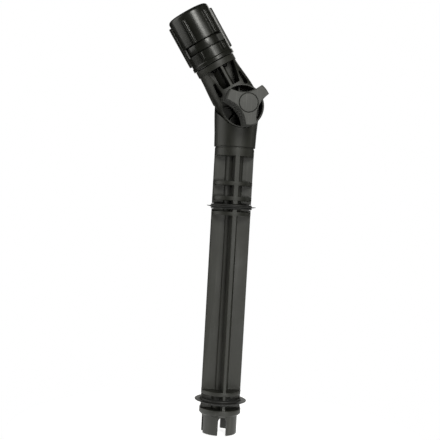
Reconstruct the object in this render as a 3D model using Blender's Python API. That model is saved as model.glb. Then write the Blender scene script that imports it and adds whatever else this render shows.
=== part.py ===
"""Gimbal rod-holder adapter: a cross-ribbed mast with a notched spigot, two rubber
centring rings, and a tilting head with a splined socket and a turning lock collar.

All sizes are in millimetres; make_object() scales every mesh to metres.
Z runs up the mast, the knob is on the -Y side and the head leans towards -X.
The origin is the centre of the spigot's lower end.
"""
import math

import bmesh
import bpy
from mathutils import Vector

MM = 0.001
GAP = 0.3
ROUND = 36

# Mast
BODY_R = 19.05
SPIGOT_R = 16.9
SPIGOT_BORE_R = 13.9
SPIGOT_SHOULDER = 17.4
SPIGOT_BORE_TOP = 21.0
NOTCH_W = 8.2
NOTCH_TOP = 17.4
COLLAR_STEP = (19.5, 24.1)
COLLAR_STEP_R = 19.9
POCKET_CORE_R = 9.0
LONG_CORE_R = 6.5
RIB_REACH = 18.95
RIB_HALF = ((19.5, 1.4), (41.0, 1.4), (208.5, 2.2), (273.6, 2.3))
BANDS = ((37.4, 41.3), (209.1, 212.7), (223.2, 227.3), (237.7, 241.7), (265.7, 273.0))
GROOVE_R = 18.4
NECK_BASE_Z = 274.6
NECK_BASE_R = 19.9
NECK_R = 21.4

# Rubber centring rings: hub low, hub high
LOWER_HUB = (28.6, 33.7)
UPPER_HUB = (214.9, 220.0)
HUB_GROOVE_R = 17.3
HUB_R = 19.9
LOWER_FIN_R = 24.9
UPPER_FIN_R = 23.7
FIN_THICK = 0.9
FIN_HOLLOW = 2.4

# Tilt joint
PIVOT_X = 1.7
PIVOT_Z = 313.5
TOOTH_COUNT = 33
LEAN_DEG = 3 * 360.0 / TOOTH_COUNT
LEAN_MAX_DEG = 45.0
DISC_R = 20.8
DISC_FRONT = 19.5
DISC_PROUD = 0.02
JOINT_CLEAR = 0.4
TOOTH_H = 0.85
TOOTH_IN_R = 9.5
TOOTH_OUT_R = 18.0
FACE_Y = 1.0
BOLT_R = 3.8
BOLT_HOLE_R = 4.2
HEX_FLATS = 13.0
SPRING_WELL_R = 7.0
SPRING_WELL_DEPTH = 4.2

# Arm, measured along the head axis from the pivot
ARM_RING = (42.0, 48.2)
ARM_RING_R = 20.0
ARM_TOP_R = 19.2
DISH_R = 18.4
DISH_FLOOR = 7.0
HUB_BOSS_R = 9.0
HUB_BOSS_FRONT = 15.0
POCKET = (21.6, 42.4)
POCKET_IN_U = 1.1
POCKET_LOW_U = 9.0
POCKET_HIGH_U = 14.6
POCKET_DEEP = 2.4
OVAL_R = 1.8
OVAL_HIGH = (13.9, 28.6)
OVAL_LOW = (14.2, 18.2)

# Socket and collar, measured the same way
INSERT_R = 18.5
INSERT_BASE = 48.5
INSERT_TOP = 98.0
SOCKET_FLOOR = 58.0
SPIGOT_SEAT_R = 13.4
SPLINE_TEETH = 24
SPLINE_ROOT_R = 13.6
SPLINE_TIP_R = 12.4
SPLINE_SHAPE = ((0.0, SPLINE_ROOT_R), (0.4, SPLINE_ROOT_R), (0.55, SPLINE_TIP_R), (0.85, SPLINE_TIP_R))
COLLAR = (48.6, 102.5)
COLLAR_R = 20.8
COLLAR_LIP = 53.0
COLLAR_LIP_R = 21.5
COLLAR_BORE_R = 18.9
COLLAR_MOUTH_R = 14.4
COLLAR_FILLET = 3.4
WING_R = 23.4
WING_W = 2.8
WING_SPAN = (54.7, 95.0)
WING_ANGLES = (30, 90, 150, 210, 270, 330)
WINDOW = (62.4, 72.4)
WINDOW_DEG = (-80.0, 54.5)
TAB_SPAN = (63.2, 70.2)
TAB_DEG = (31.0, 53.0)
TAB_R = 21.2
SEAL_GROOVE = (51.0, 53.4, 16.4)
SNAP_GROOVE = (90.0, 92.0, 16.6)
SCREW_U = 5.6
SCREW_Y = 8.2

# Knob, measured forwards of the joint plane; each layer is depth, tip radius, flank sag
KNOB_BASE = 22.0
KNOB_LAYERS = ((KNOB_BASE, 20.3, 3.9), (39.6, 21.5, 4.1), (40.1, 20.9, 4.1), (46.5, 20.6, 4.1))
KNOB_TIP_HALF_DEG = 14.3
KNOB_LOBE_DEG = 41.0
CAP_R = 8.7
INSERT_NUT_R = 6.2


def clear_scene():
    for item in list(bpy.data.objects):
        bpy.data.objects.remove(item, do_unlink=True)


def material(name, colour, roughness, metallic=0.0):
    mat = bpy.data.materials.new(name)
    mat.use_nodes = True
    shader = mat.node_tree.nodes["Principled BSDF"]
    shader.inputs["Base Color"].default_value = (*colour, 1.0)
    shader.inputs["Roughness"].default_value = roughness
    shader.inputs["Metallic"].default_value = metallic
    return mat


def make_object(name, bm, mat=None, parent=None):
    """Turn a bmesh in millimetres into a named object in metres."""
    bmesh.ops.recalc_face_normals(bm, faces=bm.faces)
    bmesh.ops.scale(bm, vec=(MM, MM, MM), verts=bm.verts)
    mesh = bpy.data.meshes.new(name)
    bm.to_mesh(mesh)
    bm.free()
    mesh.shade_smooth()
    mesh.set_sharp_from_angle(angle=math.radians(32))
    if mat:
        mesh.materials.append(mat)
    item = bpy.data.objects.new(name, mesh)
    bpy.context.scene.collection.objects.link(item)
    item.parent = parent
    return item


def empty(name, location, parent=None, rotation=(0.0, 0.0, 0.0)):
    item = bpy.data.objects.new(name, None)
    bpy.context.scene.collection.objects.link(item)
    item.parent = parent
    item.location = [value * MM for value in location]
    item.rotation_euler = rotation
    return item


def combine(target, tool, operation, solver="EXACT"):
    """Boolean the tool into the target; the tool stays as a hidden wire guide."""
    tool.hide_render = True
    tool.display_type = "WIRE"
    tool.parent = target.parent
    modifier = target.modifiers.new(tool.name, "BOOLEAN")
    modifier.operation = operation
    modifier.solver = solver
    modifier.object = tool


def cut(target, name, bm, solver="EXACT"):
    combine(target, make_object(name, bm), "DIFFERENCE", solver)


def fuse(target, name, bm, solver="EXACT"):
    combine(target, make_object(name, bm), "UNION", solver)


def arc(radius, start_deg, end_deg, steps, centre=(0.0, 0.0)):
    """Points on a circle, both ends included."""
    points = []
    for i in range(steps + 1):
        angle = math.radians(start_deg + (end_deg - start_deg) * i / steps)
        points.append((centre[0] + radius * math.cos(angle), centre[1] + radius * math.sin(angle)))
    return points


def revolve(profile, segments=ROUND):
    """Turn a closed (radius, z) outline about Z; a radius of zero is a point on the axis."""
    bm = bmesh.new()
    rings = []
    for radius, z in profile:
        if radius < 1e-6:
            rings.append([bm.verts.new((0.0, 0.0, z))])
            continue
        ring = []
        for i in range(segments):
            angle = 2 * math.pi * i / segments
            ring.append(bm.verts.new((radius * math.cos(angle), radius * math.sin(angle), z)))
        rings.append(ring)
    for a, b in zip(rings, rings[1:] + rings[:1]):
        if len(a) == 1 and len(b) == 1:
            continue
        for i in range(segments):
            j = (i + 1) % segments
            corners = [a[i % len(a)], a[j % len(a)], b[j % len(b)], b[i % len(b)]]
            face = list(dict.fromkeys(corners))
            bm.faces.new(face)
    return bm


def loft(loops):
    """Skin matching closed loops of 3-D points and cap both ends."""
    bm = bmesh.new()
    rings = [[bm.verts.new(point) for point in loop] for loop in loops]
    count = len(rings[0])
    for a, b in zip(rings, rings[1:]):
        for i in range(count):
            j = (i + 1) % count
            bm.faces.new((a[i], a[j], b[j], b[i]))
    bm.faces.new(rings[0])
    bm.faces.new(rings[-1])
    return bm


def prism_z(outline, low, high):
    return loft([[(x, y, z) for x, y in outline] for z in (low, high)])


def prism_y(outline, low, high):
    return loft([[(x, y, z) for x, z in outline] for y in (low, high)])


def prism_x(outline, low, high):
    return loft([[(x, y, z) for y, z in outline] for x in (low, high)])


def cylinder_y(radius, low, high, segments=ROUND):
    return prism_y(arc(radius, 0, 360 * (segments - 1) / segments, segments - 1), low, high)


def tube_points(low, high, outer, inner):
    """Profile of a plain tube between two heights."""
    return [(inner, low), (outer, low), (outer, high), (inner, high)]


def sector_block(inner, outer, low, high, start_deg, end_deg, steps=8):
    """Block between two radii, two heights and two angles counted from -Y towards +X."""
    outline = arc(outer, start_deg - 90, end_deg - 90, steps)
    outline += reversed(arc(inner, start_deg - 90, end_deg - 90, steps))
    return prism_z(outline, low, high)


def hexagon(flats):
    return arc(flats / math.sqrt(3), 0, 300, 5)


def tooth_ring(face_y, side):
    """Radial V teeth on a flat annulus; side is +1 when the teeth point to +Y."""
    bm = bmesh.new()
    steps = TOOTH_COUNT * 2
    root = face_y - side * 0.6
    loops = []
    corners = ((TOOTH_IN_R, False), (TOOTH_OUT_R, False), (TOOTH_OUT_R, True), (TOOTH_IN_R, True))
    for radius, toothed in corners:
        ring = []
        for i in range(steps):
            angle = 2 * math.pi * i / steps
            y = root
            if toothed:
                y = face_y + side * (TOOTH_H if i % 2 else 0.05)
            ring.append(bm.verts.new((radius * math.cos(angle), y, radius * math.sin(angle))))
        loops.append(ring)
    for a, b in zip(loops, loops[1:] + loops[:1]):
        for i in range(steps):
            j = (i + 1) % steps
            bm.faces.new((a[i], a[j], b[j]))
            bm.faces.new((a[i], b[j], b[i]))
    return bm


def swept_outline(radius, lean_deg, up):
    """What the facing half of the tilt joint sweeps: its disc and its two side walls at
    full lean. up is +1 for the region above the pivot and -1 for the region below."""
    lean = math.radians(lean_deg)
    reach = 40.0
    touch = (radius * math.cos(lean), -up * radius * math.sin(lean))
    far = (touch[0] + reach * math.sin(lean), touch[1] + up * reach * math.cos(lean))
    top = up * 60.0
    start = -up * lean_deg
    round_side = arc(radius, start, -up * 180 - start, 20)
    outline = [far] + round_side + [(-far[0], far[1]), (-far[0], top), (far[0], top)]
    return outline


def build_mast(mat, root):
    profile = [(0, SPIGOT_BORE_TOP), (SPIGOT_BORE_R, SPIGOT_BORE_TOP), (SPIGOT_BORE_R, 0)]
    profile += [(SPIGOT_R - 0.5, 0), (SPIGOT_R, 0.5), (SPIGOT_R, SPIGOT_SHOULDER)]
    profile += [(COLLAR_STEP_R, z) for z in COLLAR_STEP]
    profile.append((POCKET_CORE_R, COLLAR_STEP[1]))
    core = POCKET_CORE_R
    for index, (low, high) in enumerate(BANDS):
        profile += [(core, low), (BODY_R, low), (BODY_R, high)]
        core = LONG_CORE_R if index == 0 else POCKET_CORE_R
        if index < len(BANDS) - 1:
            profile.append((core, high))
    profile += [(GROOVE_R, BANDS[-1][1]), (GROOVE_R, NECK_BASE_Z), (NECK_BASE_R, NECK_BASE_Z)]
    profile += [(NECK_BASE_R, NECK_BASE_Z + 1.6), (20.3, 288), (21.0, 298.5), (NECK_R, 306.5)]
    profile += [(NECK_R, PIVOT_Z + 24), (0, PIVOT_Z + 24)]
    mast = make_object("mast", revolve(profile), mat, root)

    for name, along_x in (("rib_pair_x", True), ("rib_pair_y", False)):
        loops = []
        for z, half in RIB_HALF:
            a, b = (RIB_REACH, half) if along_x else (half, RIB_REACH)
            loops.append([(-a, -b, z), (a, -b, z), (a, b, z), (-a, b, z)])
        fuse(mast, name, loft(loops))

    for name, (low, high) in (("lower_ring_groove", LOWER_HUB), ("upper_ring_groove", UPPER_HUB)):
        cut(mast, name, revolve(tube_points(low, high, 26, HUB_GROOVE_R)))

    notch = [(-NOTCH_W / 2, -2), (NOTCH_W / 2, -2)]
    notch += arc(NOTCH_W / 2, 0, 180, 10, (0, NOTCH_TOP - NOTCH_W / 2))
    cut(mast, "notch_front_back", prism_y(notch, -30, 30))
    cut(mast, "notch_sides", prism_x(notch, -30, 30))

    dome = [(-26, -5), (26, -5), (26, PIVOT_Z)]
    dome += arc(NECK_R - 0.1, 0, 180, 22, (0, PIVOT_Z))
    dome.append((-26, PIVOT_Z))
    combine(mast, make_object("neck_dome", prism_y(dome, -30, 30)), "INTERSECT")

    sweep = [(x + PIVOT_X, z + PIVOT_Z) for x, z in swept_outline(DISC_R + JOINT_CLEAR, LEAN_MAX_DEG, 1)]
    cut(mast, "arm_sweep", prism_y(sweep, -30, FACE_Y))
    return mast


def finish_mast_joint(mast, pivot):
    """Teeth, bolt hole, spring well and hexagon pocket, made about the pivot."""
    tools = [("mast_teeth", tooth_ring(FACE_Y, -1), "UNION")]
    tools.append(("mast_bolt_hole", cylinder_y(BOLT_HOLE_R, -2, 30, 24), "DIFFERENCE"))
    well = cylinder_y(SPRING_WELL_R, -2, FACE_Y + SPRING_WELL_DEPTH, 24)
    tools.append(("mast_spring_well", well, "DIFFERENCE"))
    tools.append(("mast_hex_pocket", prism_y(hexagon(HEX_FLATS + 2 * GAP), 9.0, 30), "DIFFERENCE"))
    tools.append(("mast_spot_face", cylinder_y(10.5, 15.5, 30, 32), "DIFFERENCE"))
    for name, bm, operation in tools:
        tool = make_object(name, bm)
        combine(mast, tool, operation, "MANIFOLD")
        tool.parent = pivot


def centring_ring(name, hub, fin_r, mat, root):
    """Rubber ring: a hub in the mast's groove and a thin fin with concave flanks."""
    low, high = hub[0] + GAP, hub[1] - GAP
    middle = (low + high) / 2
    half = FIN_THICK / 2
    inner = HUB_GROOVE_R + GAP
    flank = []
    for i in range(4):
        t = i / 3
        radius = HUB_R + (fin_r - HUB_R) * t
        flank.append((radius, half + ((high - low) / 2 - half) * (1 - t) ** FIN_HOLLOW))
    profile = [(inner, low)]
    profile += [(radius, middle - rise) for radius, rise in flank]
    profile += [(radius, middle + rise) for radius, rise in reversed(flank)]
    profile.append((inner, high))
    return make_object(name, revolve(profile), mat, root)


def arm_section(s, half_width, front, power):
    """Arm section at height s: boxy front half, round back half."""
    loop = []
    steps = 16
    for i in range(steps + 1):
        angle = math.pi + math.pi * i / steps
        c, d = math.cos(angle), math.sin(angle)
        x = math.copysign(abs(c) ** (2 / power), c) * half_width
        y = math.copysign(abs(d) ** (2 / power), d) * front
        loop.append((x, y, s))
    for i in range(1, steps):
        angle = math.pi * i / steps
        loop.append((half_width * math.cos(angle), half_width * math.sin(angle), s))
    return loop


def build_arm(mat, head):
    stations = ((0.0, 20.6, DISC_FRONT, 5.0), (14.0, 20.5, DISC_FRONT, 4.2), (22.0, 20.2, DISC_FRONT, 3.4),
                (30.0, 19.7, 19.4, 2.7), (37.0, 19.3, 19.3, 2.2), (43.0, ARM_TOP_R, ARM_TOP_R, 2.0))
    loops = [arm_section(*station) for station in stations]
    arm = make_object("arm", loft(loops), mat, head)
    ring = [(0, ARM_RING[0]), (ARM_RING_R, ARM_RING[0]), (ARM_RING_R, ARM_RING[1]), (0, ARM_RING[1])]
    fuse(arm, "arm_ring", revolve(ring), "MANIFOLD")
    fuse(arm, "arm_disc", cylinder_y(DISC_R, -DISC_FRONT - DISC_PROUD, -0.5), "MANIFOLD")
    neck_reach = NECK_R + PIVOT_X + JOINT_CLEAR
    sweep = prism_y(swept_outline(neck_reach, LEAN_MAX_DEG, -1), -FACE_Y, 30)
    cut(arm, "arm_back_sweep", sweep, "MANIFOLD")
    cut(arm, "arm_disc_back", cylinder_y(DISC_R + 2, -FACE_Y, 0.5), "MANIFOLD")

    dish = revolve([(HUB_BOSS_R, -5), (DISH_R, -5), (DISH_R, 20), (HUB_BOSS_R, 20)])
    bmesh.ops.rotate(dish, cent=(0, 0, 0), matrix=quarter_turn(), verts=dish.verts)
    bmesh.ops.translate(dish, vec=(0, -DISH_FLOOR - 5, 0), verts=dish.verts)
    cut(arm, "arm_dish", dish, "MANIFOLD")
    cut(arm, "arm_hub_face", cylinder_y(HUB_BOSS_R + 0.5, -30, -HUB_BOSS_FRONT, 32), "MANIFOLD")
    for index in range(8):
        angle = math.radians(22.5 + 45 * index)
        rib = rib_block(HUB_BOSS_R - 0.7, DISH_R + 0.7, 1.3, -12.0, -DISH_FLOOR + 0.5, angle)
        fuse(arm, f"dish_rib_{index + 1}", rib, "MANIFOLD")

    low, high = POCKET
    for side in (-1, 1):
        front = [(side * POCKET_IN_U, low), (side * POCKET_LOW_U, low)]
        front += [(side * POCKET_HIGH_U, high), (side * POCKET_IN_U, high)]
        hand = "left" if side < 0 else "right"
        cut(arm, f"front_pocket_{hand}", prism_y(front, -30, -POCKET_DEEP), "MANIFOLD")
        back = [(side * POCKET_IN_U, low + 5), (side * POCKET_LOW_U, low + 5)]
        back += [(side * POCKET_HIGH_U, high), (side * POCKET_IN_U, high)]
        cut(arm, f"back_pocket_{hand}", prism_y(back, POCKET_DEEP, 30), "MANIFOLD")
        oval = arc(OVAL_R, 0, 180, 8, (side * OVAL_HIGH[0], OVAL_HIGH[1]))
        oval += arc(OVAL_R, 180, 360, 8, (side * OVAL_LOW[0], OVAL_LOW[1]))
        cut(arm, f"oval_window_{hand}", prism_y(oval, -30, -4.0), "MANIFOLD")
    seat_r = SPIGOT_SEAT_R + GAP
    cut(arm, "insert_seat", revolve([(0, 44), (seat_r, 44), (seat_r, 60), (0, 60)]), "MANIFOLD")
    for index, (x, y) in enumerate(screw_places()):
        hole = prism_z(arc(2.0, 0, 330, 11, (x, y)), high - 2, 50)
        cut(arm, f"arm_screw_hole_{index + 1}", hole, "MANIFOLD")
    fuse(arm, "arm_teeth", tooth_ring(-FACE_Y, 1), "MANIFOLD")
    cut(arm, "arm_bolt_hole", cylinder_y(BOLT_HOLE_R, -30, 2, 24), "MANIFOLD")
    well = cylinder_y(SPRING_WELL_R, -FACE_Y - SPRING_WELL_DEPTH, 2, 24)
    cut(arm, "arm_spring_well", well, "MANIFOLD")
    return arm


def quarter_turn():
    """Rotation that lays a Z axis along -Y."""
    return Vector((0, 0, 1)).rotation_difference(Vector((0, -1, 0))).to_matrix()


def rib_block(inner, outer, thick, low_y, high_y, angle):
    """Radial rib in the X-Z plane."""
    along = Vector((math.cos(angle), math.sin(angle)))
    across = Vector((-along.y, along.x)) * thick / 2
    corners = [along * inner - across, along * outer - across, along * outer + across, along * inner + across]
    return prism_y([tuple(corner) for corner in corners], low_y, high_y)


def screw_places():
    return [(x, y) for y in (-SCREW_Y, SCREW_Y) for x in (-SCREW_U, SCREW_U)]


def build_socket(mats, head):
    outer = [(0, INSERT_BASE - 4.2), (SPIGOT_SEAT_R, INSERT_BASE - 4.2), (SPIGOT_SEAT_R, INSERT_BASE)]
    outer.append((INSERT_R, INSERT_BASE))
    for low, high, floor_r in (SEAL_GROOVE, SNAP_GROOVE):
        outer += [(INSERT_R, low), (floor_r, low), (floor_r, high), (INSERT_R, high)]
    outer += [(INSERT_R, INSERT_TOP), (0, INSERT_TOP)]
    insert = make_object("socket_insert", revolve(outer), mats["black"], head)
    spline = []
    for tooth in range(SPLINE_TEETH):
        for step, radius in SPLINE_SHAPE:
            angle = 2 * math.pi * (tooth + step) / SPLINE_TEETH
            spline.append((radius * math.cos(angle), radius * math.sin(angle)))
    cut(insert, "spline_bore", prism_z(spline, SOCKET_FLOOR, INSERT_TOP + 5), "MANIFOLD")
    seat = sector_block(16.0, 25, TAB_SPAN[0] - GAP, TAB_SPAN[1] + GAP, TAB_DEG[0] - 1, TAB_DEG[1] + 1)
    cut(insert, "tab_seat", seat, "MANIFOLD")
    for index, (x, y) in enumerate(screw_places()):
        hole = prism_z(arc(1.9, 0, 330, 11, (x, y)), 40, 55.2)
        cut(insert, f"insert_screw_hole_{index + 1}", hole, "MANIFOLD")
        head_low = POCKET[1] - 2.6
        screw = [(0, head_low), (1.6, head_low), (2.8, head_low + 1.2), (2.8, POCKET[1] - GAP)]
        screw += [(1.6, POCKET[1] - GAP), (1.6, 54.4), (0, 54.9)]
        bm = revolve(screw, 12)
        bmesh.ops.translate(bm, vec=(x, y, 0), verts=bm.verts)
        make_object(f"socket_screw_{index + 1}", bm, mats["steel"], head)

    tab = sector_block(16.0 + GAP, TAB_R, *TAB_SPAN, *TAB_DEG)
    make_object("stop_tab", tab, mats["black"], head)
    make_object("seal_ring", revolve(tube_points(51.3, 53.1, 18.6, 16.4 + GAP)), mats["rubber"], head)
    snap = sector_block(16.6 + GAP, 19.3, 90.3, 91.7, 12, 348, 40)
    make_object("retaining_ring", snap, mats["steel"], head)
    return insert


def build_collar(mat, head):
    low, high = COLLAR
    fillet = arc(COLLAR_FILLET, 0, 90, 6, (COLLAR_R - COLLAR_FILLET, high - COLLAR_FILLET))
    profile = [(COLLAR_BORE_R, low), (COLLAR_LIP_R, low), (COLLAR_LIP_R, COLLAR_LIP - 0.7)]
    profile += [(COLLAR_R, COLLAR_LIP)] + fillet
    profile += [(COLLAR_MOUTH_R, high), (COLLAR_MOUTH_R, INSERT_TOP + GAP), (COLLAR_BORE_R, INSERT_TOP + GAP)]
    profile += [(COLLAR_BORE_R, 92.0), (19.6, 92.0), (19.6, 90.0), (COLLAR_BORE_R, 90.0)]
    collar = make_object("lock_collar", revolve(profile), mat, head)
    for index, degrees in enumerate(WING_ANGLES):
        angle = math.radians(degrees)
        out = Vector((math.sin(angle), -math.cos(angle)))
        side = Vector((-out.y, out.x)) * WING_W / 2
        inner = out * (COLLAR_R - 0.9)
        outer = out * WING_R
        corners = [inner - side, outer - side * 0.7, outer + side * 0.7, inner + side]
        wing = prism_z([tuple(corner) for corner in corners], *WING_SPAN)
        fuse(collar, f"collar_wing_{index + 1}", wing, "MANIFOLD")
    cut(collar, "collar_window", sector_block(17.5, 26, *WINDOW, *WINDOW_DEG, 16), "MANIFOLD")
    for index in range(3):
        start = 120 * index - 14
        notch = sector_block(12, 16.6, INSERT_TOP, high + 2, start, start + 28)
        cut(collar, f"mouth_notch_{index + 1}", notch, "MANIFOLD")
    return collar


def knob_outline(tip_r, sag):
    """Three broad lobes joined by shallow hollow flanks, in the X-Z plane."""
    outline = []
    for lobe in range(3):
        centre = KNOB_LOBE_DEG + 120 * lobe
        outline += arc(tip_r, centre - KNOB_TIP_HALF_DEG, centre + KNOB_TIP_HALF_DEG, 4)
        a = Vector(arc(tip_r, centre + KNOB_TIP_HALF_DEG, centre + KNOB_TIP_HALF_DEG, 1)[0])
        b = Vector(arc(tip_r, centre + 120 - KNOB_TIP_HALF_DEG, centre + 120 - KNOB_TIP_HALF_DEG, 1)[0])
        inward = -((a + b) / 2).normalized()
        for i in range(1, 10):
            t = i / 10
            outline.append(tuple(a.lerp(b, t) + inward * sag * 4 * t * (1 - t)))
    return outline


def build_knob(mats, pivot):
    layers = [[(x, -depth, z) for x, z in knob_outline(radius, sag)] for depth, radius, sag in KNOB_LAYERS]
    knob = make_object("knob", loft(layers), mats["grey"], pivot)
    fuse(knob, "knob_stem", cylinder_y(8.0, -KNOB_BASE - 2, -HUB_BOSS_FRONT - 2.4, 32))
    cut(knob, "knob_cavity", cylinder_y(8.2, -60, -36.3, 32))
    cut(knob, "knob_cap_seat", cylinder_y(CAP_R + GAP, -60, -44.8, 32))
    cut(knob, "knob_bore", cylinder_y(INSERT_NUT_R + GAP, -60, -19.0, 24))
    cut(knob, "knob_clear_hole", cylinder_y(4.6, -25, -10, 24))
    insert = make_object("knob_insert", cylinder_y(INSERT_NUT_R, -35.5, -19.3, 24), mats["brass"], pivot)
    cut(insert, "insert_thread_hole", cylinder_y(BOLT_R + GAP, -40, -10, 24))
    make_object("knob_cap", cylinder_y(CAP_R, -46.3, -45.1, 32), mats["grey"], pivot)
    washer = make_object("thrust_washer", cylinder_y(8.4, -16.9, -15.3, 32), mats["steel"], pivot)
    cut(washer, "washer_hole", cylinder_y(BOLT_HOLE_R, -20, -10, 24))


def build_pivot(mats, pivot):
    bolt = make_object("pivot_bolt", prism_y(hexagon(HEX_FLATS), 9.3, 14.6), mats["steel"], pivot)
    fuse(bolt, "bolt_shank", cylinder_y(BOLT_R, -44.0, 10.0, 24))
    nut = make_object("stop_nut", prism_y(hexagon(12.0), -43.2, -39.7), mats["steel"], pivot)
    cut(nut, "stop_nut_hole", cylinder_y(BOLT_R + GAP, -50, -30, 24))

    wire, mean = 0.5, 5.7
    end = FACE_Y + SPRING_WELL_DEPTH - GAP - wire
    turns, per_turn = 4, 12
    loops = []
    total = turns * per_turn
    for i in range(total + 1):
        angle = 2 * math.pi * i / per_turn
        y = -end + 2 * end * i / total
        out = Vector((math.cos(angle), 0, math.sin(angle)))
        centre = out * mean + Vector((0, y, 0))
        loop = []
        for k in range(5):
            around = 2 * math.pi * k / 5
            loop.append(centre + (out * math.cos(around) + Vector((0, 1, 0)) * math.sin(around)) * wire)
        loops.append(loop)
    make_object("pivot_spring", loft(loops), mats["steel"], pivot)


def main():
    clear_scene()
    mats = {
        "black": material("black_nylon", (0.055, 0.058, 0.055), 0.38),
        "rubber": material("black_rubber", (0.03, 0.03, 0.03), 0.7),
        "grey": material("grey_nylon", (0.11, 0.11, 0.11), 0.45),
        "steel": material("stainless_steel", (0.6, 0.6, 0.6), 0.3, 1.0),
        "brass": material("brass", (0.6, 0.45, 0.2), 0.3, 1.0),
    }
    root = empty("mast_axis", (0, 0, 0))
    pivot = empty("pivot_axis", (PIVOT_X, 0, PIVOT_Z), root)
    head = empty("head_axis", (0, 0, 0), pivot, (0.0, -math.radians(LEAN_DEG), 0.0))
    mast = build_mast(mats["black"], root)
    finish_mast_joint(mast, pivot)
    centring_ring("lower_centring_ring", LOWER_HUB, LOWER_FIN_R, mats["rubber"], root)
    centring_ring("upper_centring_ring", UPPER_HUB, UPPER_FIN_R, mats["rubber"], root)
    build_arm(mats["black"], head)
    build_socket(mats, head)
    build_collar(mats["black"], head)
    build_knob(mats, pivot)
    build_pivot(mats, pivot)


main()
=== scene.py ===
"""Looks for the gimbal rod-holder adapter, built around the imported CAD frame.

Pieces are modelled in millimetres, along the mast's axis or along the head's own
axis, and scaled to metres when they are placed.
"""
import math

import bmesh
import bpy
from mathutils import Matrix, Vector


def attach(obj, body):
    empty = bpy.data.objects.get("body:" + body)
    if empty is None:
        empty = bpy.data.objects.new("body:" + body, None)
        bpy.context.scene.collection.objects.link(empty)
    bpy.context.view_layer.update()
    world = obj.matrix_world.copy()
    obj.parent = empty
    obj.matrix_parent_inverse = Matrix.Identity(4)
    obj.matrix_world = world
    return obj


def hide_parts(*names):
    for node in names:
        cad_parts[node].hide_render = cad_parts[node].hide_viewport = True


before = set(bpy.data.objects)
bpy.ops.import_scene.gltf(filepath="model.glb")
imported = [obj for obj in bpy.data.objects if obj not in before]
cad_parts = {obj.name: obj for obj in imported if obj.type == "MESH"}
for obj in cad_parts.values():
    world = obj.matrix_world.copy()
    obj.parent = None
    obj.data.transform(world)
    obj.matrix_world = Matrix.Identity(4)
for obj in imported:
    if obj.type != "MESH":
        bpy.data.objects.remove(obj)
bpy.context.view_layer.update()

MM = 0.001
GAP = 0.3  # clearance between neighbouring pieces
ROUND = 96
BORE_STEPS = 64
CUT = 30  # reach of a cutting block past the part

# Camera
CAM_AZIMUTH = math.radians(-11.0)
CAM_DISTANCE = 0.838
CAM_HEIGHT = 0.2181
CAM_ROLL = math.radians(3.27)
LENS = 71.0
SHIFT = (-0.0257, -0.0318)

# Studio
FILL_LEVEL = 0.02
FLOOR_GLOW = 0.85
FLOOR_R = 0.2
FLOOR_DROP = 0.0015
LIGHT_TINT = (1.0, 1.0, 0.95)
# name, azimuth, distance, height, target, size, watts
LIGHTS = (("key_softbox", 5, 1.0, 0.75, (0, 0, 0.3), (0.3, 0.4), 4.9),
          ("side_key", 24, 1.0, 0.62, (0, 0, 0.36), (0.28, 0.5), 1.0),
          ("left_fill", -95, 1.0, 0.35, (0, 0, 0.25), (0.9, 1.0), 4.6),
          ("low_front", 12, 1.0, 0.08, (0, 0, 0.08), (0.3, 0.16), 2.3),
          ("back_fill", 165, 1.1, 0.5, (0, 0, 0.25), (0.9, 1.0), 4.0),
          ("right_fill", 95, 1.2, 0.45, (0, 0, 0.25), (0.5, 1.0), 1.0))

# Axes, as in the CAD model
PIVOT = (1.7, 0.0, 313.5)
LEAN = math.radians(3 * 360.0 / 33)  # three teeth
MAST_AXIS = Matrix.Identity(4)
PIVOT_AXIS = Matrix.Translation(Vector(PIVOT) * MM)
HEAD_AXIS = PIVOT_AXIS @ Matrix.Rotation(-LEAN, 4, "Y")

# Mast
BODY_R = 19.05
SPIGOT_R = 16.9
SPIGOT_BORE_R = 13.9
SPIGOT_BORE_TOP = 21.0
NOTCH_HALF = 4.1
NOTCH_TOP = 17.4
COLLAR_STEP = (17.4, 19.5, 24.1)
COLLAR_STEP_R = 19.9
# height, half width, reach
GUSSETS = ((17.6, 6.6, 17.2), (19.6, 4.6, 19.7), (22.4, 2.2, 19.7), (26.5, 1.45, 19.1))
POCKET_CORE_R = 9.0
LONG_CORE_R = 6.5
BANDS = ((37.4, 41.3), (209.1, 212.7), (223.2, 227.3), (237.7, 241.7), (265.7, 273.0))
RIB_REACH = 18.95
# height, half thickness
RIB_HALF = ((19.5, 1.4), (41.0, 1.4), (208.5, 2.2), (273.6, 2.3))
NECK_BASE_Z = 274.6
NECK_BASE_R = 19.9
NECK_R = 21.4
NECK_FLARE = ((20.3, 288), (21.0, 298.5), (NECK_R, 306.5))
NECK_RISE = 24
DOME_HALF = 26
HUB_OUT_R = 26
LOWER_HUB = (28.6, 33.7)
UPPER_HUB = (214.9, 220.0)
HUB_GROOVE_R = 17.3
LEAN_MAX = 45.0
FACE_Y = 1.0
TEETH = 33
TOOTH_IN_R = 9.5
TOOTH_OUT_R = 18.0
TOOTH_TIP = 0.85
TOOTH_ROOT = 0.05
TOOTH_SUNK = 0.6
BOLT_BORE_R = 4.2
SPRING_R = 7.0
SPRING_DEPTH = 4.2
HEX_ACROSS = 13.6
HEX_FLOOR_Y = 9.0
HEX_MOUTH_R = 10.5
HEX_MOUTH_Y = 15.5
NECK_GROOVE_R = 18.4

# Arm
DISC_R = 20.8
DISC_FRONT = 19.5
DISH_R = 19.3
DISH_FLOOR = 7.0
BOSS_R = 9.0
BOSS_FRONT = 15.0
NECK_REACH = 23.5
RIB_COUNT = 8
RIB_THICK = 1.3
ARM_CORE = (20, 43)
ARM_CORE_R = 6.9
SCREW_X = 5.6
SCREW_Y = 8.2
ARM_RING_R = 20.0
ARM_RING = (42.0, 48.2)
ARM_POCKET_X = (1.1, 9.0, 14.6)
ARM_POCKET_TOP = 42.4
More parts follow.
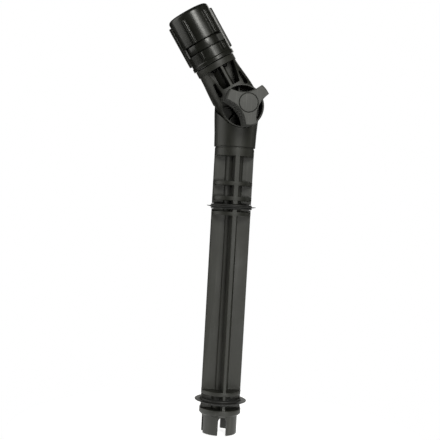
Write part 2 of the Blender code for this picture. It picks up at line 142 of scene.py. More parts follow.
# floor height, then the pocket's two ends along Y
ARM_POCKETS = ((21.6, -CUT, -2.4), (26.6, 2.4, CUT))
OVAL_TOP = (1.3, 13.6, 29.4)  # radius, x, height
OVAL_LOW = (2.3, 14.0, 18.6)
OVAL_FLOOR = 4.0
# height, half width, depth of the front, power of its rounding
ARM_STATIONS = ((0.0, 20.6, 19.5, 5.0), (14.0, 20.5, 19.5, 4.2), (22.0, 20.2, 19.5, 3.4),
                (30.0, 19.7, 19.4, 2.7), (37.0, 19.3, 19.3, 2.2), (43.0, 19.2, 19.2, 2.0))

# Socket and collar
INSERT_R = 18.5
TENON_R = 13.4
TENON = (44.3, 48.5)
TENON_HOLE_R = 13.7
TENON_HOLE = (44, 60)
SOCKET_FLOOR = 58.0
INSERT_TOP = 98.0
INSERT_GROOVES = ((51.0, 53.4, 16.4), (60.0, 63.6, 16.9), (71.4, 75.0, 16.9), (90.0, 92.0, 16.6))
SPLINE_TEETH = 24
SPLINE_SHAPE = ((0.0, 13.6), (0.4, 13.6), (0.55, 12.4), (0.85, 12.4))
TAB_DEG = (31.0, 53.0)
TAB = (63.2, 70.2)
TAB_LAYERS = ((16.3, 0.0), (20.7, 0.0), (21.2, 0.45))  # radius, inset
TAB_SLOT_R = (16.0, 25)
TAB_SLOT = (62.9, 70.5)
TAB_SLOT_DEG = (30, 54)
COLLAR = (48.6, 102.5)
COLLAR_R = 20.8
COLLAR_LIP = 53.0
COLLAR_LIP_R = 21.5
COLLAR_BORE_R = 18.9
COLLAR_MOUTH_R = 14.4
WINDOW = (62.4, 72.4)
WINDOW_DEG = (-80.0, 54.5)
WINDOW_R = (17.5, 26)
COLLAR_FILLET = 3.4
COLLAR_GROOVE = (90.0, 92.0)
COLLAR_GROOVE_R = 19.6
WING = (54.7, 96.4)
WING_DEG = (30, 90, 150, 210, 270, 330)
WING_HALF = 1.35
WING_LAYERS = ((19.9, 1.35), (22.7, 1.25), (23.15, 1.05), (23.35, 0.7))
MOUTH_NOTCH_DEG = 28
MOUTH_NOTCH_R = (12, 16.6)

# Knob layers: depth, tip radius, flank sag, 1 where the grip bars stand
KNOB_LAYERS = ((22.0, 19.9, 4.2, 0), (22.5, 20.3, 4.2, 0), (24.4, 20.4, 4.2, 0), (24.9, 20.45, 4.2, 1),
               (38.2, 21.2, 4.5, 1), (38.6, 21.3, 4.5, 0), (39.0, 21.3, 4.5, 0), (39.2, 20.7, 4.5, 0),
               (39.8, 20.7, 4.5, 0), (40.0, 21.2, 4.5, 0), (45.4, 20.9, 4.5, 0), (46.1, 20.6, 4.5, 0),
               (46.5, 19.8, 4.5, 0))
KNOB_LOBE_DEG = 41.0
KNOB_TIP_HALF_DEG = 14.3
CAP_R = 8.7
BAR_H = 0.75
BAR_SPAN = (11, 34)
FLANK_STEPS = 48
STEM = ((0, 17.4), (7.6, 17.4), (8.0, 17.8), (8.0, 24.0), (0, 24.0))
# radius, then the bore's two ends along Y
KNOB_WELL = (8.2, -60, -36.3)
KNOB_INSERT_BORE = (6.5, -60, -19.0)
KNOB_BOLT_HOLE = (4.6, -25, -10)
CAP_SEAT = ((0, 44.8), (CAP_R + GAP, 44.8), (CAP_R + GAP, 46.1),
            (CAP_R + 0.9, 46.7), (CAP_R + 0.9, 60), (0, 60))
CAP = ((0, 45.1), (CAP_R, 45.1), (CAP_R, 45.9), (CAP_R - 0.4, 46.25), (4.5, 46.42), (0, 46.48))


# ---------------------------------------------------------------- mesh helpers

def arc(radius, start_deg, end_deg, steps, centre=(0.0, 0.0)):
    points = []
    for i in range(steps + 1):
        angle = math.radians(start_deg + (end_deg - start_deg) * i / steps)
        points.append((centre[0] + radius * math.cos(angle), centre[1] + radius * math.sin(angle)))
    return points


def rounded(points, radius, steps=3):
    """Round the corners of a closed outline; corners on the axis and flat ones stay."""
    out = []
    count = len(points)
    for i, point in enumerate(points):
        p = Vector(point)
        back = Vector(points[i - 1]) - p
        ahead = Vector(points[(i + 1) % count]) - p
        if abs(p.x) < 1e-6 or min(back.length, ahead.length) < 1e-6 or back.angle(ahead) > math.radians(160):
            out.append(tuple(p))
            continue
        length = min(radius / math.tan(back.angle(ahead) / 2), back.length * 0.45, ahead.length * 0.45)
        start, end = p + back.normalized() * length, p + ahead.normalized() * length
        for k in range(steps + 1):
            t = k / steps
            out.append(tuple(start * (1 - t) ** 2 + p * 2 * t * (1 - t) + end * t ** 2))
    return out


def revolve(profile, segments=ROUND):
    bm = bmesh.new()
    rings = []
    for radius, z in profile:
        if radius < 1e-6:
            rings.append([bm.verts.new((0.0, 0.0, z))])
            continue
        ring = []
        for i in range(segments):
            angle = 2 * math.pi * i / segments
            ring.append(bm.verts.new((radius * math.cos(angle), radius * math.sin(angle), z)))
        rings.append(ring)
    for a, b in zip(rings, rings[1:] + rings[:1]):
        if len(a) == 1 and len(b) == 1:
            continue
        for i in range(segments):
            j = (i + 1) % segments
            corners = [a[i % len(a)], a[j % len(a)], b[j % len(b)], b[i % len(b)]]
            bm.faces.new(list(dict.fromkeys(corners)))
    return bm


def loft(loops):
    bm = bmesh.new()
    rings = [[bm.verts.new(point) for point in loop] for loop in loops]
    count = len(rings[0])
    for a, b in zip(rings, rings[1:]):
        for i in range(count):
            j = (i + 1) % count
            bm.faces.new((a[i], a[j], b[j], b[i]))
    bm.faces.new(rings[0])
    bm.faces.new(rings[-1])
    return bm


def prism_x(outline, low, high):
    return loft([[(x, y, z) for y, z in outline] for x in (low, high)])


def prism_y(outline, low, high):
    return loft([[(x, y, z) for x, z in outline] for y in (low, high)])


def prism_z(outline, low, high):
    return loft([[(x, y, z) for x, y in outline] for z in (low, high)])


def cylinder_y(radius, low, high):
    return prism_y(arc(radius, 0, 360 * (BORE_STEPS - 1) / BORE_STEPS, BORE_STEPS - 1), low, high)


def plug(radius, low, high):
    """Outline of a solid round block, for revolve."""
    return [(0, low), (radius, low), (radius, high), (0, high)]


def turned_y(profile, segments=ROUND):
    """Revolve (radius, depth) about the Y axis, with depth counted towards -Y."""
    bm = revolve(profile, segments)
    turn = Vector((0, 0, 1)).rotation_difference(Vector((0, -1, 0))).to_matrix()
    bmesh.ops.rotate(bm, cent=(0, 0, 0), matrix=turn, verts=bm.verts)
    return bm


def sector(inner, outer, low, high, start_deg, end_deg, steps=24):
    """Block between radii, heights and angles; angles run from -Y towards +X."""
    outline = arc(outer, start_deg - 90, end_deg - 90, steps)
    outline += reversed(arc(inner, start_deg - 90, end_deg - 90, steps))
    return prism_z(outline, low, high)


def swept_outline(radius, lean_deg, up):
    """What the facing half of the tilt joint sweeps, above (+1) or below (-1) the pivot."""
    lean = math.radians(lean_deg)
    touch = (radius * math.cos(lean), -up * radius * math.sin(lean))
    far = (touch[0] + 40 * math.sin(lean), touch[1] + up * 40 * math.cos(lean))
    start = -up * lean_deg
    round_side = arc(radius, start, -up * 180 - start, 48)
    return [far] + round_side + [(-far[0], far[1]), (-far[0], up * 60), (far[0], up * 60)]


def tooth_ring(face_y, side):
    bm = bmesh.new()
    steps = TEETH * 2
    loops = []
    rows = ((TOOTH_IN_R, False), (TOOTH_OUT_R, False), (TOOTH_OUT_R, True), (TOOTH_IN_R, True))
    for radius, toothed in rows:
        ring = []
        for i in range(steps):
            angle = 2 * math.pi * i / steps
            y = face_y - side * TOOTH_SUNK
            if toothed:
                y = face_y + side * (TOOTH_TIP if i % 2 else TOOTH_ROOT)
            ring.append(bm.verts.new((radius * math.cos(angle), y, radius * math.sin(angle))))
        loops.append(ring)
    for a, b in zip(loops, loops[1:] + loops[:1]):
        for i in range(steps):
            j = (i + 1) % steps
            bm.faces.new((a[i], a[j], b[j]))
            bm.faces.new((a[i], b[j], b[i]))
    return bm


def raw(bm):
    """A closed mesh in millimetres, as an unplaced object."""
    bmesh.ops.recalc_face_normals(bm, faces=bm.faces)
    mesh = bpy.data.meshes.new("work")
    bm.to_mesh(mesh)
    bm.free()
    item = bpy.data.objects.new("work", mesh)
    bpy.context.scene.collection.objects.link(item)
    return item


def shape(base, steps):
    """Apply a list of (operation, bmesh) to a base bmesh and return one mesh object."""
    item = raw(base)
    tools = []
    for operation, bm in steps:
        tool = raw(bm)
        modifier = item.modifiers.new("step", "BOOLEAN")
        modifier.operation = operation
        modifier.solver = "MANIFOLD"
        modifier.object = tool
        tools.append(tool)
    bpy.context.view_layer.update()
    mesh = bpy.data.meshes.new_from_object(item.evaluated_get(bpy.context.evaluated_depsgraph_get()))
    item.modifiers.clear()
    item.data = mesh
    for tool in tools:
        bpy.data.objects.remove(tool, do_unlink=True)
    return item


def place(item, name, axis, body, mat, nodes, sharp=30):
    """Scale to metres, put on its axis, and hand over to the frame."""
    mesh = item.data
    bm = bmesh.new()
    bm.from_mesh(mesh)
    bmesh.ops.remove_doubles(bm, verts=bm.verts, dist=0.002)
    bmesh.ops.scale(bm, vec=(MM, MM, MM), verts=bm.verts)
    bmesh.ops.transform(bm, matrix=axis, verts=bm.verts)
    bm.to_mesh(mesh)
    bm.free()
    mesh.shade_smooth()
    mesh.set_sharp_from_angle(angle=math.radians(sharp))
    mesh.materials.clear()
    mesh.materials.append(mat)
    item.name = mesh.name = name
    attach(item, body)
    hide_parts(*nodes)


# ---------------------------------------------------------------- materials

class Graph:
    """Small helper to wire one material's nodes."""

    def __init__(self, name):
        self.mat = bpy.data.materials.new(name)
        self.mat.use_nodes = True
        self.tree = self.mat.node_tree
        self.shader = self.tree.nodes["Principled BSDF"]
        self.coords = self.add("ShaderNodeTexCoord").outputs["Object"]

    def add(self, kind, **values):
        node = self.tree.nodes.new(kind)
        for key, value in values.items():
            setattr(node, key, value)
        return node

    def link(self, source, target):
        self.tree.links.new(source, target)

    def noise(self, scale, detail=2.0, stretch=None):
        source = self.coords
        if stretch:
            mapping = self.add("ShaderNodeMapping")
            mapping.inputs["Scale"].default_value = stretch
            self.link(source, mapping.inputs["Vector"])
            source = mapping.outputs["Vector"]
        node = self.add("ShaderNodeTexNoise")
        node.inputs["Scale"].default_value = scale
        node.inputs["Detail"].default_value = detail
        self.link(source, node.inputs["Vector"])
        return node.outputs["Fac"]

    def span(self, source, low, high, from_low=0.3, from_high=0.7):
        node = self.add("ShaderNodeMapRange")
        node.inputs["From Min"].default_value = from_low
        node.inputs["From Max"].default_value = from_high
        node.inputs["To Min"].default_value = low
        node.inputs["To Max"].default_value = high
        self.link(source, node.inputs["Value"])
        return node.outputs["Result"]

    def math(self, operation, a, b):
        node = self.add("ShaderNodeMath", operation=operation, use_clamp=operation != "MULTIPLY")
        self.link(a, node.inputs[0])
        self.link(b, node.inputs[1])
        return node.outputs["Value"]

    def blend(self, factor, first, second):
        node = self.add("ShaderNodeMix", data_type="RGBA")
        for socket, value in ((node.inputs[6], first), (node.inputs[7], second)):
            if isinstance(value, tuple):
                socket.default_value = (*value, 1.0)
            else:
                self.link(value, socket)
        self.link(factor, node.inputs[0])
        return node.outputs[2]

    def edges(self, radius):
        """Rounded normals, and a mask that is 1 where an edge is near."""
        bevel = self.add("ShaderNodeBevel", samples=6)
        bevel.inputs["Radius"].default_value = radius
        geometry = self.add("ShaderNodeNewGeometry")
        dot = self.add("ShaderNodeVectorMath", operation="DOT_PRODUCT")
        self.link(bevel.outputs["Normal"], dot.inputs[0])
        self.link(geometry.outputs["Normal"], dot.inputs[1])
        return bevel.outputs["Normal"], self.span(dot.outputs["Value"], 1.0, 0.0, 0.75, 0.99)

    def bump(self, height, strength, distance, normal):
        node = self.add("ShaderNodeBump")
        node.inputs["Strength"].default_value = strength
        node.inputs["Distance"].default_value = distance
        self.link(height, node.inputs["Height"])
        self.link(normal, node.inputs["Normal"])
        return node.outputs["Normal"]


def plastic(name, dark, light, rough, grain, depth, edge=0.35):
    """Moulded plastic or rubber: fine grain, cloudy tone, uneven gloss and worn edges."""
    g = Graph(name)
    normal, near_edge = g.edges(0.00035)
    clouds = g.noise(45.0, 4.0)
    specks = g.noise(grain, 3.0)
    tone = g.blend(g.span(clouds, 0.0, 1.0), dark, light)
    worn = tuple(min(1.0, c * 2.1 + 0.02) for c in light)
    wear = g.math("MULTIPLY", near_edge, g.span(g.noise(260.0, 3.0), 0.0, edge, 0.38, 0.68))
    colour = g.blend(wear, tone, worn)
    scratch = g.span(g.noise(420.0, 2.0, (1.0, 1.0, 0.05)), 0.0, 0.3, 0.6, 0.74)
    g.link(g.blend(scratch, colour, worn), g.shader.inputs["Base Color"])
    uneven = g.math("ADD", g.span(clouds, rough[0], rough[1]), g.span(specks, -0.03, 0.04))
    g.link(uneven, g.shader.inputs["Roughness"])
    g.link(g.bump(specks, 0.35, depth, normal), g.shader.inputs["Normal"])
    return g.mat


def metal(name, dark, light, rough, stretch):
    """Machined metal: stretched tool marks, small tarnish spots."""
    g = Graph(name)
    normal, near_edge = g.edges(0.0002)
    marks = g.noise(900.0, 2.0, stretch)
    spots = g.noise(320.0, 4.0)
    tone = g.blend(g.span(spots, 0.0, 1.0, 0.42, 0.75), light, dark)
    g.link(tone, g.shader.inputs["Base Color"])
    uneven = g.math("ADD", g.span(marks, rough[0], rough[1]), g.span(spots, 0.0, 0.12))
    g.link(uneven, g.shader.inputs["Roughness"])
    g.link(g.bump(marks, 0.2, 0.00003, normal), g.shader.inputs["Normal"])
    g.shader.inputs["Metallic"].default_value = 1.0
    return g.mat


# ---------------------------------------------------------------- mast

def build_mast(mat):
    step_low, step_mid, step_high = COLLAR_STEP
    profile = [(0, SPIGOT_BORE_TOP), (SPIGOT_BORE_R, SPIGOT_BORE_TOP), (SPIGOT_BORE_R, 0)]
    profile.append((SPIGOT_R, 0))
    profile += [(SPIGOT_R, step_low), (COLLAR_STEP_R, step_mid), (COLLAR_STEP_R, step_high)]
    profile.append((POCKET_CORE_R, step_high))
    core = POCKET_CORE_R
    for index, (low, high) in enumerate(BANDS):
        profile += [(core, low), (BODY_R, low), (BODY_R, high)]
        core = LONG_CORE_R if index == 0 else POCKET_CORE_R
        if index < len(BANDS) - 1:
            profile.append((core, high))
    profile += [(NECK_GROOVE_R, BANDS[-1][1]), (NECK_GROOVE_R, NECK_BASE_Z), (NECK_BASE_R, NECK_BASE_Z)]
    profile += [(NECK_BASE_R, NECK_BASE_Z + 1.6), *NECK_FLARE]
    profile += [(NECK_R, PIVOT[2] + NECK_RISE), (0, PIVOT[2] + NECK_RISE)]
    steps = []
    for along_x in (True, False):
        loops = []
        for z, half in RIB_HALF:
            corners = [(-RIB_REACH, -half), (RIB_REACH, -half), (RIB_REACH, half), (-RIB_REACH, half)]
            outline = rounded(corners, 0.35)
            loops.append([(x, y, z) if along_x else (y, x, z) for x, y in outline])
        steps.append(("UNION", loft(loops)))
    for side in (-1, 1):
        for along_y in (True, False):
            loops = []
            for z, half, reach in GUSSETS:
                tip = half * 0.8
                corners = ((-half, side * 12), (half, side * 12), (tip, side * reach), (-tip, side * reach))
                loops.append([(x, y, z) if along_y else (y, x, z) for x, y in corners])
            steps.append(("UNION", loft(loops)))
    for low, high in (LOWER_HUB, UPPER_HUB):
        groove = [(HUB_GROOVE_R, low), (HUB_OUT_R, low), (HUB_OUT_R, high), (HUB_GROOVE_R, high)]
        steps.append(("DIFFERENCE", revolve(groove)))
    notch = [(-NOTCH_HALF, -2), (NOTCH_HALF, -2)] + arc(NOTCH_HALF, 0, 180, 20, (0, NOTCH_TOP - NOTCH_HALF))
    steps.append(("DIFFERENCE", prism_y(notch, -CUT, CUT)))
    steps.append(("DIFFERENCE", prism_x(notch, -CUT, CUT)))
    dome = [(-DOME_HALF, -5), (DOME_HALF, -5), (DOME_HALF, PIVOT[2])]
    dome += arc(NECK_R - 0.1, 0, 180, 60, (0, PIVOT[2])) + [(-DOME_HALF, PIVOT[2])]
    steps.append(("INTERSECT", prism_y(dome, -CUT, CUT)))
    sweep = [(x + PIVOT[0], z + PIVOT[2]) for x, z in swept_outline(DISC_R + 0.4, LEAN_MAX, 1)]
    steps.append(("DIFFERENCE", prism_y(sweep, -CUT, FACE_Y)))
    joint = [("UNION", tooth_ring(FACE_Y, -1)), ("DIFFERENCE", cylinder_y(BOLT_BORE_R, -2, CUT))]
    joint.append(("DIFFERENCE", cylinder_y(SPRING_R, -2, FACE_Y + SPRING_DEPTH)))
    hexagon = arc(HEX_ACROSS / math.sqrt(3), 0, 300, 5)
    joint.append(("DIFFERENCE", prism_y(rounded(hexagon, 0.5), HEX_FLOOR_Y, CUT)))
    joint.append(("DIFFERENCE", cylinder_y(HEX_MOUTH_R, HEX_MOUTH_Y, CUT)))
    for operation, bm in joint:
        bmesh.ops.translate(bm, vec=PIVOT, verts=bm.verts)
        steps.append((operation, bm))
    item = shape(revolve(rounded(profile, 0.45)), steps)
    place(item, "mast_body", MAST_AXIS, "mast", mat, ["mast"])


def build_ring(name, hub, fin_r, mat, node):
    """Rubber ring: a stepped hub with a thin fin that dishes slightly upwards."""
    low, high = hub[0] + GAP, hub[1] - GAP
    inner = HUB_GROOVE_R + GAP
    fin_z = (low + high) / 2
    profile = [(inner, low), (19.5, low), (19.9, low + 0.4), (19.9, low + 1.0), (19.55, low + 1.3)]
    profile += [(20.2, fin_z - 0.55), (21.4, fin_z - 0.4), (fin_r - 0.6, fin_z - 0.05)]
    profile += [(fin_r - 0.1, fin_z + 0.1), (fin_r, fin_z + 0.35), (fin_r - 0.2, fin_z + 0.55)]
    profile += [(21.6, fin_z + 0.45), (20.2, fin_z + 0.7)]
    profile += [(19.7, fin_z + 1.2), (19.6, high - 0.4), (19.2, high), (inner, high)]
    item = shape(revolve(rounded(profile, 0.2, 2), 128), [])
    place(item, name, MAST_AXIS, "mast", mat, [node], sharp=40)


# ---------------------------------------------------------------- arm

def arm_section(s, half_width, front, power, steps=40):
    loop = []
    for i in range(steps + 1):
        angle = math.pi + math.pi * i / steps
        c, d = math.cos(angle), math.sin(angle)
        x = math.copysign(abs(c) ** (2 / power), c) * half_width
        y = math.copysign(abs(d) ** (2 / power), d) * front
        loop.append((x, y, s))
    for i in range(1, steps):
        angle = math.pi * i / steps
        loop.append((half_width * math.cos(angle), half_width * math.sin(angle), s))
    return loop


def smooth_stations(stations, per_span=4):
    """Catmull-Rom steps between the arm's stations."""
    out = []
    last = len(stations) - 1
    for i in range(last):
        p = [stations[max(0, min(last, i + k))] for k in (-1, 0, 1, 2)]
        for k in range(per_span):
            t = k / per_span
            row = []
            for a, b, c, d in zip(*p):
                curve = 2 * a - 5 * b + 4 * c - d + t * (3 * (b - c) + d - a)
                row.append(b + 0.5 * t * (c - a + t * curve))
            out.append(row)
    return out + [stations[-1]]


def rib(inner, outer, thick, low_y, high_y, angle):
    along = Vector((math.cos(angle), math.sin(angle)))
    across = Vector((-along.y, along.x)) * thick / 2
    corners = [along * inner - across, along * outer - across, along * outer + across, along * inner + across]
    return prism_y([tuple(corner) for corner in corners], low_y, high_y)


def joint_clearance():
    """Room that the mast's half of the joint and its neck need over the whole tilt."""
    return [("DIFFERENCE", prism_y(swept_outline(NECK_REACH, LEAN_MAX, -1), -FACE_Y, CUT)),
            ("DIFFERENCE", cylinder_y(DISC_R + 2, -FACE_Y, 0.6))]


def screw_holes(radius, low, high):
    """Holes for the four screws between arm and socket."""
    return [("DIFFERENCE", prism_z(arc(radius, 0, 345, 23, (x, y)), low, high))
            for x in (-SCREW_X, SCREW_X) for y in (-SCREW_Y, SCREW_Y)]


def build_arm(mat):
    base = loft([arm_section(*station) for station in smooth_stations(ARM_STATIONS)])
    steps = [("UNION", revolve(rounded(plug(ARM_RING_R, *ARM_RING), 0.5)))]
    steps.append(("UNION", turned_y(rounded(plug(DISC_R, 0.5, DISC_FRONT), 0.5))))
    steps += joint_clearance()
    dish = [(BOSS_R, DISH_FLOOR), (DISH_R, DISH_FLOOR), (DISH_R, CUT), (BOSS_R, CUT)]
    steps.append(("DIFFERENCE", turned_y(rounded(dish, 0.8))))
    steps.append(("DIFFERENCE", cylinder_y(BOSS_R + 0.5, -CUT, -BOSS_FRONT)))
    for index in range(RIB_COUNT):
        angle = math.radians(360 / RIB_COUNT * (index + 0.5))
        steps.append(("UNION", rib(BOSS_R - 0.7, DISH_R + 0.6, RIB_THICK, -12.0, -DISH_FLOOR + 0.5, angle)))
    for side in (-1, 1):
        inner_x, low_x, top_x = (side * x for x in ARM_POCKET_X)
        for floor_z, low_y, high_y in ARM_POCKETS:
            pocket = [(inner_x, floor_z), (low_x, floor_z), (top_x, ARM_POCKET_TOP), (inner_x, ARM_POCKET_TOP)]
            steps.append(("DIFFERENCE", prism_y(rounded(pocket, 0.9), low_y, high_y)))
        oval = arc(OVAL_TOP[0], 0, 180, 12, (side * OVAL_TOP[1], OVAL_TOP[2]))
        oval += arc(OVAL_LOW[0], 180, 360, 12, (side * OVAL_LOW[1], OVAL_LOW[2]))
        steps.append(("DIFFERENCE", prism_y(oval, -CUT, -OVAL_FLOOR)))
    steps.append(("UNION", revolve(plug(ARM_CORE_R, *ARM_CORE))))
    steps += joint_clearance()
    steps.append(("DIFFERENCE", revolve(plug(TENON_HOLE_R, *TENON_HOLE))))
    steps += screw_holes(2.0, 40.4, 50)
    steps.append(("UNION", tooth_ring(-FACE_Y, 1)))
    steps.append(("DIFFERENCE", cylinder_y(BOLT_BORE_R, -CUT, 2)))
    steps.append(("DIFFERENCE", cylinder_y(SPRING_R, -FACE_Y - SPRING_DEPTH, 2)))
    place(shape(base, steps), "arm_body", HEAD_AXIS, "head", mat, ["arm"])


# ---------------------------------------------------------------- socket and collar

def build_socket(mat, tab_painted_sheen_mat):
    outer = [(0, TENON[0]), (TENON_R, TENON[0]), (TENON_R, TENON[1]), (INSERT_R, TENON[1])]
    for low, high, floor_r in INSERT_GROOVES:
        outer += [(INSERT_R, low), (floor_r, low), (floor_r, high), (INSERT_R, high)]
    outer += [(INSERT_R, INSERT_TOP), (0, INSERT_TOP)]
    spline = []
    for tooth in range(SPLINE_TEETH):
        for step, radius in SPLINE_SHAPE:
            angle = 2 * math.pi * (tooth + step) / SPLINE_TEETH
            spline.append((radius * math.cos(angle), radius * math.sin(angle)))
    steps = [("DIFFERENCE", prism_z(rounded(spline, 0.25, 2), SOCKET_FLOOR, INSERT_TOP + 5))]
    steps.append(("DIFFERENCE", sector(*TAB_SLOT_R, *TAB_SLOT, *TAB_SLOT_DEG)))
    steps += screw_holes(1.9, 40, 55.2)
    insert = shape(revolve(rounded(outer, 0.3)), steps)
    place(insert, "socket_body", HEAD_AXIS, "head", mat, ["socket_insert"])
    layers = []
    for radius, inset in TAB_LAYERS:
        loop = []
        turn = math.degrees(inset / radius)
        left, right = TAB_DEG[0] + turn, TAB_DEG[1] - turn
        low, high = TAB[0] + inset, TAB[1] - inset
        for u, s in rounded([(left, low), (right, low), (right, high), (left, high)], 0.7):
            angle = math.radians(u)
            loop.append((radius * math.sin(angle), -radius * math.cos(angle), s))
        layers.append(loop)
    tab = shape(loft(layers), [])
    # Painted sheen: the stop tab is the collar's black plastic, given the lighter grey finish so that it shows
    # as bright as the sheen it catches.
    place(tab, "stop_tab_block", HEAD_AXIS, "head", tab_painted_sheen_mat, ["stop_tab"])


def stadium(half, low, high, steps=10):
    return arc(half, 0, 180, steps, (0, high - half)) + arc(half, 180, 360, steps, (0, low + half))


def build_collar(mat):
    low, high = COLLAR
    fillet = arc(COLLAR_FILLET, 0, 90, 12, (COLLAR_R - COLLAR_FILLET, high - COLLAR_FILLET))
    profile = [(COLLAR_BORE_R, low), (COLLAR_LIP_R - 0.4, low), (COLLAR_LIP_R, low + 0.4)]
    profile += [(COLLAR_LIP_R, COLLAR_LIP - 0.9), (COLLAR_LIP_R - 0.3, COLLAR_LIP - 0.4)]
    profile += [(COLLAR_R, COLLAR_LIP)] + fillet
    profile += [(COLLAR_MOUTH_R + 0.5, high), (COLLAR_MOUTH_R, high - 0.5)]
    profile += [(COLLAR_MOUTH_R, INSERT_TOP + GAP), (COLLAR_BORE_R, INSERT_TOP + GAP)]
    profile += [(COLLAR_BORE_R, COLLAR_GROOVE[1]), (COLLAR_GROOVE_R, COLLAR_GROOVE[1])]
    profile += [(COLLAR_GROOVE_R, COLLAR_GROOVE[0]), (COLLAR_BORE_R, COLLAR_GROOVE[0])]
    steps = []
    for degrees in WING_DEG:
        angle = math.radians(degrees)
        out = Vector((math.sin(angle), -math.cos(angle), 0))
        side = Vector((math.cos(angle), math.sin(angle), 0))
        loops = []
        for radius, half in WING_LAYERS:
            trim = WING_HALF - half
            points = stadium(half, WING[0] + trim, WING[1] - trim)
            loops.append([out * math.sqrt(radius ** 2 - u ** 2) + side * u + Vector((0, 0, s))
                          for u, s in points])
        steps.append(("UNION", loft(loops)))
    steps.append(("DIFFERENCE", sector(*WINDOW_R, *WINDOW, *WINDOW_DEG, 60)))
    for index in range(3):
        start = 120 * index - MOUTH_NOTCH_DEG / 2
        notch = sector(*MOUTH_NOTCH_R, INSERT_TOP, high + 2, start, start + MOUTH_NOTCH_DEG)
        steps.append(("DIFFERENCE", notch))
    item = shape(revolve(profile, 128), steps)
    place(item, "collar_body", HEAD_AXIS, "collar", mat, ["lock_collar"])


# ---------------------------------------------------------------- knob

def knob_outline(tip_r, sag, bars):
    """Three lobes with hollow flanks; bars raises six short grip bars on each flank."""
    outline = []
    for lobe in range(3):
        centre = KNOB_LOBE_DEG + 120 * lobe
        half = KNOB_TIP_HALF_DEG
        outline += arc(tip_r, centre - half, centre + half, 12)
        a = Vector(arc(tip_r, centre + half, centre + half, 1)[0])
        b = Vector(arc(tip_r, centre + 120 - half, centre + 120 - half, 1)[0])
        inward = -((a + b) / 2).normalized()
        for i in range(1, FLANK_STEPS):
            t = i / FLANK_STEPS
            depth = sag * 4 * t * (1 - t)
            if BAR_SPAN[0] <= i <= BAR_SPAN[1] and i % 4 in (0, 1):
                depth -= BAR_H * bars
            outline.append(tuple(a.lerp(b, t) + inward * depth))
    return outline


def build_knob(mat):
    layers = []
    for depth, radius, sag, bars in KNOB_LAYERS:
        layers.append([(x, -depth, z) for x, z in knob_outline(radius, sag, bars)])
    steps = [("UNION", turned_y(STEM, 64))]
    steps.append(("DIFFERENCE", cylinder_y(*KNOB_WELL)))
    steps.append(("DIFFERENCE", turned_y(CAP_SEAT)))
    steps.append(("DIFFERENCE", cylinder_y(*KNOB_INSERT_BORE)))
    steps.append(("DIFFERENCE", cylinder_y(*KNOB_BOLT_HOLE)))
    item = shape(loft(layers), steps)
    place(item, "knob_body", PIVOT_AXIS, "knob", mat, ["knob"], sharp=26)
    place(shape(turned_y(CAP), []), "knob_centre_cap", PIVOT_AXIS, "knob", mat, ["knob_cap"])


# ---------------------------------------------------------------- studio

def make_camera():
    data = bpy.data.cameras.new("camera")
    data.sensor_width = 36.0
    data.lens = LENS
    data.shift_x, data.shift_y = SHIFT
    cam = bpy.data.objects.new("camera", data)
    bpy.context.scene.collection.objects.link(cam)
    back = Vector((math.sin(CAM_AZIMUTH), -math.cos(CAM_AZIMUTH), 0.0))
    turn = (-back).to_track_quat("-Z", "Y").to_matrix() @ Matrix.Rotation(CAM_ROLL, 3, "Z")
    cam.matrix_world = Matrix.Translation(back * CAM_DISTANCE + Vector((0, 0, CAM_HEIGHT))) @ turn.to_4x4()
    bpy.context.scene.camera = cam


def area_light(name, azimuth_deg, distance, height, target, size, power):
    """Soft box at an azimuth counted from -Y towards +X."""
    data = bpy.data.lights.new(name, "AREA")
    data.shape = "RECTANGLE"
    data.size, data.size_y = size
    data.energy = power
    data.color = LIGHT_TINT
    light = bpy.data.objects.new(name, data)
    bpy.context.scene.collection.objects.link(light)
    angle = math.radians(azimuth_deg)
    light.location = (distance * math.sin(angle), -distance * math.cos(angle), height)
    light.rotation_euler = (Vector(target) - light.location).to_track_quat("-Z", "Y").to_euler()


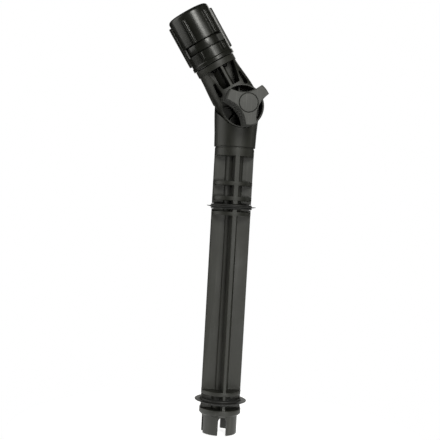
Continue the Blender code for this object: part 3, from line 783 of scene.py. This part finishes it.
def make_studio():
    scene = bpy.context.scene
    scene.view_settings.view_transform = "Standard"
    world = bpy.data.worlds.new("studio")
    scene.world = world
    world.use_nodes = True
    tree = world.node_tree
    path = tree.nodes.new("ShaderNodeLightPath")
    level = tree.nodes.new("ShaderNodeMapRange")
    level.inputs["To Min"].default_value = FILL_LEVEL
    level.inputs["To Max"].default_value = 1.0
    tree.links.new(path.outputs["Is Camera Ray"], level.inputs["Value"])
    tree.links.new(level.outputs["Result"], tree.nodes["Background"].inputs["Strength"])
    tree.nodes["Background"].inputs["Color"].default_value = (1, 1, 1, 1)
    bm = bmesh.new()
    bmesh.ops.create_circle(bm, cap_ends=True, radius=FLOOR_R, segments=128)
    mesh = bpy.data.meshes.new("floor")
    bm.to_mesh(mesh)
    bm.free()
    floor = bpy.data.objects.new("floor", mesh)
    scene.collection.objects.link(floor)
    floor.location = (0, 0, -FLOOR_DROP)
    g = Graph("floor_white")
    tone = g.blend(g.span(g.noise(3.0), 0.0, 1.0), (0.93, 0.93, 0.93), (0.96, 0.96, 0.96))
    g.link(tone, g.shader.inputs["Base Color"])
    g.shader.inputs["Roughness"].default_value = 0.9
    g.shader.inputs["Emission Color"].default_value = (1, 1, 1, 1)
    g.shader.inputs["Emission Strength"].default_value = FLOOR_GLOW
    mesh.materials.append(g.mat)
    for light in LIGHTS:
        area_light(*light)


make_camera()
make_studio()

NYLON = plastic("nylon_black", (0.016, 0.0165, 0.013), (0.026, 0.0265, 0.021), (0.42, 0.52), 1500.0, 0.00006)
GLOSS = plastic("nylon_gloss", (0.012, 0.0125, 0.010), (0.018, 0.0185, 0.015), (0.22, 0.28), 1700.0, 0.00003,
                edge=0.08)
RUBBER = plastic("rubber_black", (0.016, 0.016, 0.015), (0.028, 0.028, 0.026), (0.5, 0.66), 900.0, 0.00008,
                 edge=0.2)
GREY = plastic("nylon_grey", (0.052, 0.053, 0.049), (0.07, 0.071, 0.066), (0.42, 0.52), 1300.0, 0.00007)
STEEL = metal("steel_brushed", (0.4, 0.4, 0.4), (0.6, 0.6, 0.59), (0.2, 0.34), (1.0, 0.05, 1.0))
OXIDE = metal("steel_black_oxide", (0.02, 0.02, 0.02), (0.05, 0.05, 0.05), (0.3, 0.45), (1.0, 1.0, 0.1))
BRASS = metal("brass_machined", (0.4, 0.28, 0.1), (0.62, 0.46, 0.2), (0.2, 0.34), (1.0, 0.1, 1.0))

CARRIED = {"pivot_bolt": STEEL, "pivot_spring": STEEL, "stop_nut": STEEL, "thrust_washer": STEEL,
           "retaining_ring": OXIDE, "seal_ring": RUBBER, "knob_insert": BRASS}
CARRIED.update({f"socket_screw_{index}": OXIDE for index in (1, 2, 3, 4)})
for node, finish in CARRIED.items():
    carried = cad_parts[node]
    for material_slot in carried.material_slots:
        material_slot.material = finish

build_mast(NYLON)
build_ring("lower_ring_rubber", LOWER_HUB, 24.9, RUBBER, "lower_centring_ring")
build_ring("upper_ring_rubber", UPPER_HUB, 23.7, RUBBER, "upper_centring_ring")
build_arm(NYLON)
# The stop tab takes the grey finish as a painted sheen; it is black plastic like the collar.
build_socket(GLOSS, GREY)
build_collar(GLOSS)
build_knob(GREY)
